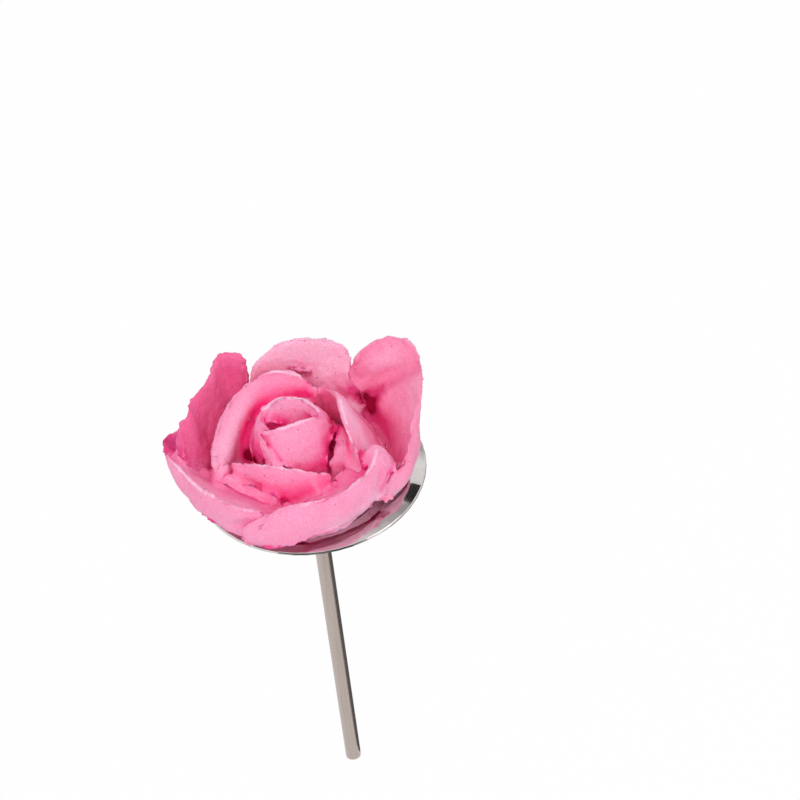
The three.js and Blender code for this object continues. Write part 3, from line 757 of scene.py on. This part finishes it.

# %% [markdown]
# ## Where light hardly reaches
# Light that falls into a fold bounces from pink to pink and comes out deeper and redder. How
# open each point is to the sky is measured once by casting a few rays, and kept on the mesh, so
# that the icing's colour paints shade into the folds and hollows and paints light onto the open
# parts. A few broad strokes of the same brush add more painted shade and painted light to the
# ribbons, and fine strokes draw a painted highlight, a light line, along the thin crests.

# %% Measure the folds
# broad strokes of painted shade where the strength is above zero, and of painted light where it is below
SHADE_AND_LIGHT_STROKES = [
    # tip of the left front ribbon, the crease beside it and the ribbon's inner face
    ("outer_petal_front_left", 1.8, [
        (-23.6, 1.5, 85.2, 1.3), (-22.2, 0.6, 84.8, 1.3), (-20.8, -0.6, 83.4, 0.4)]),
    ("outer_petal_left", 0.7, [
        (-21.8, -0.6, 85.0, 0.5), (-20.8, -1.6, 84.2, 0.7), (-19.6, -2.0, 83.4, 0.4)]),
    ("outer_petal_front_left", 2.0, [
        (-19.4, -1.7, 81.6, 0.2), (-17.9, -2.7, 80.8, 0.2), (-14.9, -6.6, 80.2, 0.2),
        (-12.5, -9.3, 80.2, 0.25), (-9.8, -12.6, 80.5, 0.3)]),
    # inner face of the right front ribbon
    ("outer_petal_front_right", 2.0, [
        (0.5, -11.6, 80.4, 0.35), (3.5, -11.8, 81.0, 0.35), (6.0, -11.2, 81.5, 0.4),
        (8.4, -10.2, 82.4, 0.4), (9.6, -9.2, 84.0, 0.4)]),
    # foot of the front inner petal
    ("inner_petal_front", 1.8, [
        (-9.0, -8.9, 80.6, 0.2), (-5.0, -10.2, 80.5, 0.35), (0.0, -10.9, 80.8, 0.4),
        (2.2, -11.0, 82.2, 0.2)]),
    ("inner_petal_front", 1.8, [
        (-2.0, -10.0, 83.6, 0.15), (0.6, -10.4, 83.4, 0.2), (2.2, -10.8, 82.8, 0.1)]),
    # painted shade in the valley of the left inner petal around the bud, and painted light on its rolled
    # band
    ("inner_petal_left", 1.5, [
        (-10.4, 0.6, 81.6, 0.6), (-9.8, 2.5, 83.9, 0.6), (-8.1, 5.2, 85.4, 0.55), (-5.4, 6.8, 86.5, 0.3),
        (-1.6, 7.0, 86.7, 0.25), (1.0, 6.2, 87.2, 0.45)]),
    ("inner_petal_left", 1.6, [
        (-15.4, -4.0, 82.9, -0.3), (-13.8, -0.9, 85.2, -0.35), (-12.0, 1.8, 86.6, -0.35),
        (-9.6, 5.2, 87.8, -0.2)]),
    # top left and foot of the right petal
    ("outer_petal_right", 1.8, [
        (10.4, 9.6, 87.6, 0.3), (11.6, 10.4, 89.6, 0.3), (13.4, 11.2, 91.0, 0.2)]),
    ("outer_petal_right", 2.8, [
        (12.8, 6.2, 81.0, 0.3), (13.4, 4.6, 79.4, 0.4), (14.2, 1.6, 79.0, 0.35), (14.9, -1.6, 79.5, 0.3),
        (14.7, -5.2, 79.6, 0.4)]),
    # shade under the right petal's fold
    ("outer_petal_right", 1.4, [
        (12.6, 7.5, 83.6, 0.6), (13.6, 7.4, 84.3, 0.5), (15.0, 7.2, 85.4, 0.35), (17.5, 6.9, 86.8, 0.25),
        (19.4, 6.4, 88.4, 0.15)]),
    # painted light on the lobes above and below it
    ("outer_petal_right", 2.0, [(13.4, 9.6, 87.6, -0.2), (16.0, 9.6, 89.0, -0.25)]),
    ("outer_petal_right", 1.6, [(15.4, 5.4, 83.0, -0.15), (16.6, 2.6, 82.2, -0.15)]),
    # painted shade in the dark pit between the back and the right petal
    ("outer_petal_back", 1.4, [
        (9.4, 7.9, 84.0, 0.4), (10.2, 7.1, 83.2, 1.4), (10.6, 6.5, 82.4, 2.4), (10.8, 6.1, 81.7, 2.4),
        (10.9, 5.8, 80.9, 1.4), (11.2, 5.4, 80.0, 0.7)]),
    ("outer_petal_back", 0.7, [
        (8.2, 7.6, 82.4, -0.3), (8.8, 7.2, 81.6, -0.6), (9.5, 6.5, 80.9, -0.8), (10.2, 5.9, 80.2, -0.5)]),
    ("outer_petal_right", 0.9, [
        (12.2, 7.0, 83.6, 1.1), (12.0, 6.7, 82.7, 1.3), (12.1, 6.2, 81.4, 1.1), (12.3, 5.5, 80.0, 0.5)]),
    ("outer_petal_right", 0.7, [(11.5, 7.0, 82.7, 1.4), (11.5, 6.7, 81.7, 1.6), (11.6, 6.2, 80.6, 1.0)]),
    # painted light on the right side of the right petal
    ("outer_petal_right", 2.0, [
        (18.6, 3.0, 88.0, -0.2), (17.8, 0.0, 85.8, -0.25), (17.0, -3.0, 84.4, -0.25),
        (16.4, -6.0, 82.8, -0.2)]),
    # creases around the right petal's lower lobe
    ("outer_petal_right", 1.0, [
        (13.4, -9.4, 82.6, 0.5), (14.6, -9.2, 82.8, 0.7), (15.4, -8.6, 83.0, 0.5)]),
    ("outer_petal_right", 0.5, [
        (12.3, -11.8, 81.0, 0.7), (12.5, -11.4, 82.0, 0.9), (13.3, -10.7, 82.4, 0.9),
        (14.4, -10.2, 82.5, 0.6), (15.6, -9.8, 82.7, 0.2)]),
    # crease between the bud and the right inner petal
    ("inner_petal_right", 0.7, [
        (4.6, 1.4, 85.4, 0.8), (4.8, -0.8, 85.0, 1.2), (4.6, -2.2, 84.1, 1.2), (4.4, -3.6, 82.6, 0.9)]),
    ("bud_wrap", 0.6, [
        (4.2, 0.8, 86.0, 0.3), (4.6, -0.8, 85.0, 0.7), (4.4, -2.2, 84.1, 0.9), (4.2, -3.6, 82.6, 0.8)]),
    # skirt of the back petal
    ("outer_petal_back", 1.8, [(7.0, 10.0, 85.8, 0.2), (8.8, 8.8, 84.2, 0.35)]),
    # painted light on the outer faces on the right
    ("inner_petal_right", 2.0, [
        (6.8, 0.8, 88.4, -0.35), (8.4, -2.4, 86.3, -0.4), (9.7, -5.2, 83.5, -0.35)]),
    # painted shade in the groove at the right front ribbon's end, and painted light on its lower edge
    ("outer_petal_front_right", 0.6, [
        (13.4, -9.6, 82.4, 0.4), (13.0, -10.8, 82.3, 0.7), (12.2, -11.9, 82.2, 0.5),
        (11.7, -12.7, 81.2, 0.5), (11.2, -13.0, 79.8, 0.6)]),
    ("outer_petal_front_right", 1.8, [
        (9.6, -14.0, 79.2, -0.25), (7.0, -15.8, 78.4, -0.25), (2.4, -17.4, 77.8, -0.25)]),
    # undersides, which the steel lights from below
    ("outer_petal_front_right", 2.4, [
        (8.5, -12.6, 77.6, -0.6), (5.5, -14.2, 76.8, -0.6), (1.5, -15.4, 76.2, -0.6)]),
    ("rose_mound", 2.4, [(9.0, -10.6, 76.0, -0.7), (6.0, -13.4, 75.8, -0.7), (2.0, -15.4, 75.6, -0.7)]),
    ("outer_petal_right", 2.0, [(12.8, -10.8, 76.2, -0.5), (15.0, -8.0, 76.8, -0.5)]),
    # inner side of the tongue
    ("outer_petal_front_right", 1.4, [
        (5.6, -13.6, 83.4, 0.4), (7.6, -12.4, 84.4, 0.4), (9.4, -10.4, 85.4, 0.35)]),
    # hollow and right side of the bud
    ("rose_mound", 1.5, [
        (-5.4, -1.5, 86.8, 0.9), (-3.6, -1.5, 86.8, 0.7), (-1.5, -1.3, 87.2, 0.55),
        (0.6, -0.9, 87.5, 0.45), (1.8, -0.6, 87.8, 0.3)]),
    ("bud_wrap", 1.7, [
        (3.2, -4.2, 84.8, 0.4), (3.6, -3.6, 82.6, 0.65), (2.4, -6.0, 81.8, 0.6), (0.0, -7.4, 81.8, 0.35)]),
    ("bud_wrap", 1.3, [(-8.8, -0.8, 83.6, 0.5), (-8.4, -2.6, 83.0, 0.45), (-7.4, -4.8, 82.8, 0.35)]),
    ("bud_wrap", 1.1, [
        (-8.6, -2.2, 86.4, 0.3), (-8.5, -3.4, 85.2, 0.45), (-8.0, -4.6, 84.2, 0.55),
        (-7.2, -5.6, 83.4, 0.5)]),
    # inner side of the bud's left rim
    ("bud_wrap", 0.5, [(-6.7, 1.2, 88.9, 0.3), (-7.0, -0.2, 88.6, 0.5), (-6.9, -1.8, 88.2, 0.4)]),
    # slit and torn edge of the bud's loose end
    ("bud_wrap", 0.25, [(-7.4, -3.5, 88.1, 0.7), (-6.9, -4.4, 87.5, 0.9), (-6.4, -5.2, 86.8, 0.3)]),
    ("bud_wrap", 0.3, [(-6.1, -5.4, 86.8, 0.3), (-5.4, -6.1, 85.9, 0.5), (-4.8, -6.8, 84.7, 0.6)]),
    # painted shade in the dark hole at the foot of the left inner petal
    ("inner_petal_left", 1.0, [(-9.9, 0.3, 80.3, 2.4), (-9.5, 0.1, 79.6, 2.8)]),
    ("bud_wrap", 0.9, [(-8.9, -1.6, 81.2, 1.0), (-8.8, -1.2, 80.2, 2.2)]),
    # painted shade on the dark end of the rope
    ("inner_petal_front", 0.6, [(-5.6, -10.6, 79.1, 0.8), (-4.9, -10.8, 79.0, 1.2)]),
]
# lines of painted highlight along the thin crests
HIGHLIGHT_LINES = [
    # the two front ribbons
    ("outer_petal_front_left", [
        (-23.8, -1.1, 84.4, 0.5), (-21.9, -4.9, 83.8, 1), (-19.0, -9.4, 83.3, 1), (-14.6, -13.9, 83.3, 1),
        (-10.2, -16.1, 82.6, 0.4)]),
    ("outer_petal_front_right", [
        (-2.6, -17.4, 83.9, 0.5), (0.2, -17.2, 84.4, 1), (5.0, -16.4, 85.1, 1), (8.2, -14.4, 85.5, 1),
        (10.4, -11.8, 86.3, 1), (11.3, -9.8, 87.0, 0.6)]),
    # the inner petals
    ("inner_petal_right", [
        (4.9, 4.6, 88.6, 0.4), (6.5, 0.4, 88.8, 1), (7.0, -5.6, 87.2, 1), (8.2, -8.8, 84.8, 1)]),
    ("inner_petal_front", [(-9.2, -6.5, 84.4, 1), (-4.0, -8.6, 84.5, 1), (2.2, -10.6, 83.6, 0.5)]),
    ("inner_petal_left", [
        (-5.5, 8.8, 90.2, 0.3), (-3.5, 9.1, 90.4, 1), (0.2, 8.0, 89.7, 1), (1.2, 7.0, 89.0, 0.5)]),
    # the bud's back rim and flap
    ("bud_wrap", [
        (-8.0, 0.5, 88.2, 0.6), (-4.4, 3.0, 89.6, 1), (0.2, 2.4, 89.7, 1), (2.7, -1.1, 89.4, 0.6)]),
    ("bud_wrap", [
        (-7.9, -3.2, 87.8, 0.5), (-7.4, -4.6, 86.9, 1), (-7.0, -5.5, 85.8, 1), (-6.3, -6.4, 84.6, 0.5)]),
    ("bud_wrap", [
        (-6.9, -3.6, 88.4, 0.6), (-3.2, -3.8, 89.1, 1), (0.6, -2.7, 89.3, 1), (2.2, -1.8, 89.3, 0.6)]),
]
HIGHLIGHT_WIDTH = 0.28  # mm
# the strength of the painted highlight on a sharp crest
HIGHLIGHT_SHARE = 0.5  # how pale a crest is where no line is drawn
RAYS = 24
FAR = 9.0  # mm, what is farther away blocks no light
EVERY = 7  # only each seventh point is measured, and the average fills in the others
RAY_LIFT = 0.15  # mm above the skin, where a ray starts
GRAZING = 0.15  # flatter rays are left out
SHADE_SPREAD = 0.3  # square mm that are averaged


def ray_directions(count):
    turns = np.arange(count) * pi * (3 - 5 ** 0.5)
    heights = 1 - 2 * (np.arange(count) + 0.5) / count
    rims = np.sqrt(1 - heights ** 2)
    return np.stack([rims * np.cos(turns), rims * np.sin(turns), heights], axis=1)


whole = tree_in_mm(joined(list(ribbons.values())))
rays = ray_directions(RAYS)
for node_name, piece in ribbons.items():
    points = points_of(piece)
    normals = normals_of(piece)
    blocked = np.zeros(len(points))
    asked = np.zeros(len(points))
    for i in range(0, len(points), EVERY):
        slopes = rays @ normals[i]
        start = Vector(points[i] + RAY_LIFT * normals[i])
        total = hidden = 0.0
        for ray, slope in zip(rays, slopes):
            if slope > GRAZING:
                total += slope
                distance = whole.ray_cast(start, Vector(ray), FAR)[3]
                if distance is not None:
                    hidden += slope * (1 - distance / FAR)
        blocked[i] = hidden / total
        asked[i] = 1
    rounds = int(round(SHADE_SPREAD / SKIN ** 2))
    deep = spread_over(piece, blocked, rounds) / np.maximum(spread_over(piece, asked, rounds), 1e-6)
    # painted highlight: a share on every sharp crest, and full along the drawn lines
    lip = HIGHLIGHT_SHARE * crests[node_name]
    # broad strokes of painted shade, and of painted light where their strength is below zero
    for stroked_piece, width, path in SHADE_AND_LIGHT_STROKES:
        if stroked_piece == node_name:
            deep = deep + brush(piece, width, path)
    for lined, path in HIGHLIGHT_LINES:
        if lined == node_name:
            lip = np.maximum(lip, brush(piece, HIGHLIGHT_WIDTH, path))
    for name, values in (("deep", deep), ("lip", lip)):
        layer = piece.data.attributes.new(name, "FLOAT", "POINT")
        layer.data.foreach_set("value", values.astype(np.float32))
    print(node_name, "shade:", np.round(np.percentile(deep, (5, 50, 95)), 2))

# %% [markdown]
# ## Steel finishes
# The stem is drawn wire with fine lengthwise streaks. The head is a stamped sheet polished to a
# soft mirror, and the stamping left it slightly domed, which shows only in what it mirrors. All
# steel is one metal shader whose roughness and tint change a little from place to place.

# %% Steel
DOME_MIDDLE = (-1.5 * MM, -4.5 * MM, 0)
DOME_REACH = (12 * MM, 25 * MM)
DOME_DROP = 2.8 * MM


def node_of(tree, kind, **values):
    """A new node with its inputs and settings."""
    node = tree.nodes.new(kind)
    for name, value in values.items():
        if name in node.inputs:
            node.inputs[name].default_value = value
        else:
            setattr(node, name, value)
    return node


def fed(tree, source, socket, kind, **values):
    """A new node that takes another node's output."""
    node = node_of(tree, kind, **values)
    tree.links.new(source, node.inputs[socket])
    return node


def ranged(tree, value, low, high, top):
    """A value taken from low..high to 0..top."""
    node = fed(tree, value, "Value", "ShaderNodeMapRange")
    for name, number in (("From Min", low), ("From Max", high), ("To Min", 0), ("To Max", top)):
        node.inputs[name].default_value = number
    return node.outputs[0]


def finish(name):
    material = bpy.data.materials.new(name)
    material.use_nodes = True
    return material, material.node_tree, material.node_tree.nodes["Principled BSDF"]


def domed(tree, place, drop):
    """A normal that leans outwards from one radius to another, as on a shallow dome."""
    moved = fed(tree, place, 0, "ShaderNodeVectorMath", operation="SUBTRACT")
    moved.inputs[1].default_value = DOME_MIDDLE
    flat = fed(tree, moved.outputs[0], 0, "ShaderNodeVectorMath", operation="MULTIPLY")
    flat.inputs[1].default_value = (1, 1, 0)
    radius = fed(tree, flat.outputs[0], 0, "ShaderNodeVectorMath", operation="LENGTH")
    rise = ranged(tree, radius.outputs["Value"], *DOME_REACH, 1)
    curve = fed(tree, rise, 0, "ShaderNodeMath", operation="POWER")
    curve.inputs[1].default_value = 2
    lean = fed(tree, curve.outputs[0], "Height", "ShaderNodeBump", invert=True, Strength=1, Distance=drop)
    return lean.outputs[0]


def steel(name, dark, light, rough, stretch, scale, dome=0):
    """Metal with streaks: two tints, a range of roughness, and the streaks' stretch and scale."""
    material, tree, shader = finish(name)
    shader.inputs["Metallic"].default_value = 1
    place = node_of(tree, "ShaderNodeTexCoord").outputs["Object"]
    turn = fed(tree, place, "Vector", "ShaderNodeMapping", Scale=stretch)
    noise = fed(
        tree, turn.outputs[0], "Vector", "ShaderNodeTexNoise", Scale=scale, Detail=5, Roughness=0.6
    )
    streaks = noise.outputs["Fac"]
    tint = fed(tree, streaks, "Fac", "ShaderNodeValToRGB")
    for stop, position, colour in zip(tint.color_ramp.elements, (0.3, 0.7), (dark, light)):
        stop.position = position
        stop.color = (*colour, 1)
    tree.links.new(tint.outputs["Color"], shader.inputs["Base Color"])
    polish = fed(tree, streaks, "Value", "ShaderNodeMapRange")
    polish.inputs["To Min"].default_value = rough[0]
    polish.inputs["To Max"].default_value = rough[1]
    tree.links.new(polish.outputs[0], shader.inputs["Roughness"])
    relief = fed(tree, streaks, "Height", "ShaderNodeBump", Strength=0.08, Distance=0.02 * MM)
    if dome:
        tree.links.new(domed(tree, place, dome), relief.inputs["Normal"])
    tree.links.new(relief.outputs[0], shader.inputs["Normal"])
    return material


wire_steel = steel(
    "wire_steel", (0.44, 0.37, 0.34), (0.54, 0.46, 0.42), (0.2, 0.34), (1, 1, 0.03), 3000
)
sheet_steel = steel(
    "sheet_steel", (0.58, 0.54, 0.53), (0.70, 0.65, 0.64), (0.05, 0.14), (1, 1, 1), 220, DOME_DROP
)
bead_steel = steel("bead_steel", (0.33, 0.28, 0.26), (0.5, 0.45, 0.42), (0.3, 0.5), (1, 1, 1), 900)
for node_name, material in (("stem", wire_steel), ("head", sheet_steel), ("weld_bead", bead_steel)):
    nodes[node_name].data.materials.clear()
    nodes[node_name].data.materials.append(material)
print("steel on stem, head and weld bead")

# %% [markdown]
# ## Icing finish
# Icing is fat and sugar with a little pink: light goes a millimetre or so into it, which keeps
# the shaded folds warm. Its skin is matt with fine grain and a few burst bubbles, whose pits get
# painted shade. Four outer petals have pinks of their own: the back petal a paler one and the right
# petal a deeper one; the left petal's deeper pink and the darker folds of all four are painted shade.

# %% Pink icing
LIGHT = (0.96, 0.33, 0.55)
CLOUDY = (0.95, 0.28, 0.49)
# painted shade in the folds and, darker, in the hollows
FOLD_SHADE = (0.94, 0.05, 0.27)
HOLLOW_SHADE = (0.3, 0.0, 0.03)
# painted light on the open parts
PAINTED_LIGHT = (0.99, 0.5, 0.69)
# painted highlight on the thin crests
CREST_HIGHLIGHT = (1.0, 0.66, 0.82)
# painted shade in the pits of burst bubbles
BUBBLE_SHADE = (0.62, 0.07, 0.2)
SPECK = (1.05, 1.5, 1.25)  # times the red, green and blue of the light pink
DOT = (0.88, 0.45, 0.65)  # times those of the cloudy pink


def mixed(tree, amount, first, second):
    """A colour between two, which may each be a colour or another node's output."""
    mix = node_of(tree, "ShaderNodeMix", data_type="RGBA")
    tree.links.new(amount, mix.inputs[0])
    for socket, value in ((mix.inputs[6], first), (mix.inputs[7], second)):
        if isinstance(value, tuple):
            socket.default_value = (*value, 1)
        else:
            tree.links.new(value, socket)
    return mix.outputs[2]


def kept(tree, name):
    """A value that was kept on the mesh."""
    return node_of(tree, "ShaderNodeAttribute", attribute_name=name).outputs["Fac"]


def pink_icing(name, light, cloudy, fold_shade):
    """Icing of two mixed pinks with grain; painted shade in folds and bubble pits, painted light and
    highlight.
    """
    material, tree, shader = finish(name)
    shader.inputs["Roughness"].default_value = 0.6
    shader.inputs["Specular IOR Level"].default_value = 0.05
    shader.inputs["Subsurface Weight"].default_value = 0.5
    shader.inputs["Subsurface Radius"].default_value = (1.0, 0.35, 0.45)
    shader.inputs["Subsurface Scale"].default_value = 0.6 * MM
    place = node_of(tree, "ShaderNodeTexCoord").outputs["Object"]
    cloud = fed(tree, place, "Vector", "ShaderNodeTexNoise", Scale=180, Detail=4).outputs["Fac"]
    noise = fed(tree, place, "Vector", "ShaderNodeTexNoise", Scale=3600, Detail=4, Roughness=0.65)
    grain = noise.outputs["Fac"]
    deep = kept(tree, "deep")
    speck = tuple(min(1, c * part) for c, part in zip(light, SPECK))
    dot = tuple(c * part for c, part in zip(cloudy, DOT))
    colour = mixed(tree, ranged(tree, cloud, 0.35, 0.65, 1), cloudy, light)
    # each layer's value, the range over which it grows, its full share and its colour
    for value, low, high, top, layer in (
        # painted light on the open parts
        (deep, 0.06, -0.3, 0.8, PAINTED_LIGHT),
        (grain, 0.52, 0.66, 0.6, speck),
        (grain, 0.46, 0.32, 0.4, dot),
        # painted shade in the folds, and darker in the hollows
        (deep, 0.14, 0.85, 1, fold_shade),
        (deep, 0.95, 1.8, 1, HOLLOW_SHADE),
        # painted highlight on the crests
        (kept(tree, "lip"), 0.1, 0.9, 0.75, CREST_HIGHLIGHT),
    ):
        colour = mixed(tree, ranged(tree, value, low, high, top), colour, layer)
    cells = fed(tree, place, "Vector", "ShaderNodeTexVoronoi", Scale=900)
    chance = fed(tree, cells.outputs["Color"], 0, "ShaderNodeSeparateColor").outputs[0]
    pore = ranged(tree, cells.outputs["Distance"], 0.17, 0.09, 1)
    pit = fed(tree, pore, 0, "ShaderNodeMath", operation="MULTIPLY")
    tree.links.new(ranged(tree, chance, 0.8, 0.83, 1), pit.inputs[1])
    faint = ranged(tree, pit.outputs[0], 0, 1, 0.7)
    # painted shade in the pits of burst bubbles, which the bump also digs
    tree.links.new(mixed(tree, faint, colour, BUBBLE_SHADE), shader.inputs["Base Color"])
    dug = fed(tree, grain, 0, "ShaderNodeMath", operation="SUBTRACT")
    tree.links.new(pit.outputs[0], dug.inputs[1])
    relief = fed(tree, dug.outputs[0], "Height", "ShaderNodeBump", Strength=0.7, Distance=0.12 * MM)
    tree.links.new(relief.outputs[0], shader.inputs["Normal"])
    return material


icing = pink_icing("pink_icing", LIGHT, CLOUDY, FOLD_SHADE)
tints = {
    # paler pink on the back petal, with darker painted shade in its folds
    "outer_petal_back": pink_icing(
        "pale_pink_icing", (0.98, 0.5, 0.69), (0.98, 0.44, 0.63), (0.75, 0.08, 0.27)
    ),
    # deeper pink on the right petal, with darker painted shade in its folds
    "outer_petal_right": pink_icing("rosy_icing", (0.93, 0.3, 0.5), (0.89, 0.24, 0.43), (0.7, 0.05, 0.2)),
    # darker painted shade in the folds of the left front ribbon
    "outer_petal_front_left": pink_icing("dark_fold_shade_icing", LIGHT, CLOUDY, (0.76, 0.08, 0.28)),
    # deeper pink as painted shade on the left petal, and darker painted shade in its folds
    "outer_petal_left": pink_icing(
        "shaded_pink_icing", (0.88, 0.17, 0.38), (0.85, 0.13, 0.33), (0.72, 0.06, 0.25)
    ),
}
for node_name, piece in ribbons.items():
    piece.data.materials.append(tints.get(node_name, icing))
    piece.data.polygons.foreach_set("use_smooth", [True] * len(piece.data.polygons))
    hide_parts(node_name)
    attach(piece, "rose")
for piece in plain.values():
    bpy.data.objects.remove(piece)
print("icing on", len(ribbons), "pieces")
